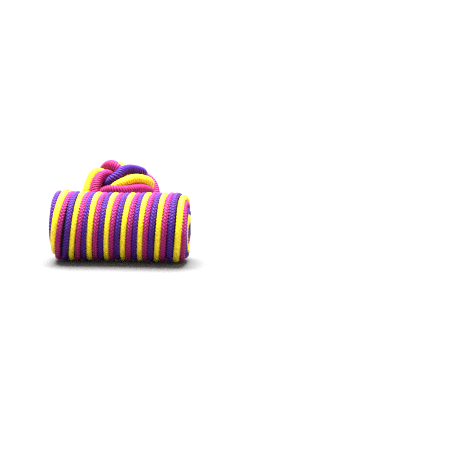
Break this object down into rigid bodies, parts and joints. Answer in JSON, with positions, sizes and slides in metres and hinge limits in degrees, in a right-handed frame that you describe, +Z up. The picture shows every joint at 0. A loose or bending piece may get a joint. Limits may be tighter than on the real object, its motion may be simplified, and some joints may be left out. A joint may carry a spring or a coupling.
{
  "type": "silk knot cuff button",
  "caption": "Cuff button with a barrel wound in thin cord and a ball knotted from thicker cord, joined by a short elastic link that passes through a shirt cuff.",
  "frame": {"origin": "middle of the outline seen from above, on the surface that the button lies on", "axes": "+X along the barrel, +Y from the barrel to the knot, +Z up from the surface"},
  "size_m": [0.0178, 0.0261, 0.0102],
  "materials": {
    "core": "matt padded core, hidden under the cords",
    "violet_fine_cord": "fine braided artificial silk cord, violet, satin sheen",
    "yellow_fine_cord": "fine braided artificial silk cord, yellow, satin sheen",
    "magenta_fine_cord": "fine braided artificial silk cord, magenta, satin sheen",
    "violet_elastic_cord": "ribbed round elastic cord, violet, satin sheen",
    "yellow_elastic_cord": "ribbed round elastic cord, yellow, satin sheen",
    "magenta_elastic_cord": "ribbed round elastic cord, magenta, satin sheen"
  },
  "bodies": {
    "root": {"barrel_core": "core", "violet_winding": "violet_fine_cord", "yellow_winding": "yellow_fine_cord", "magenta_winding": "magenta_fine_cord", "knot_core": "core", "violet_strand": "violet_elastic_cord", "yellow_strand": "yellow_elastic_cord", "magenta_strand": "magenta_elastic_cord", "violet_link": "violet_elastic_cord", "yellow_link": "yellow_elastic_cord", "magenta_link": "magenta_elastic_cord"}
  },
  "joints": []
}
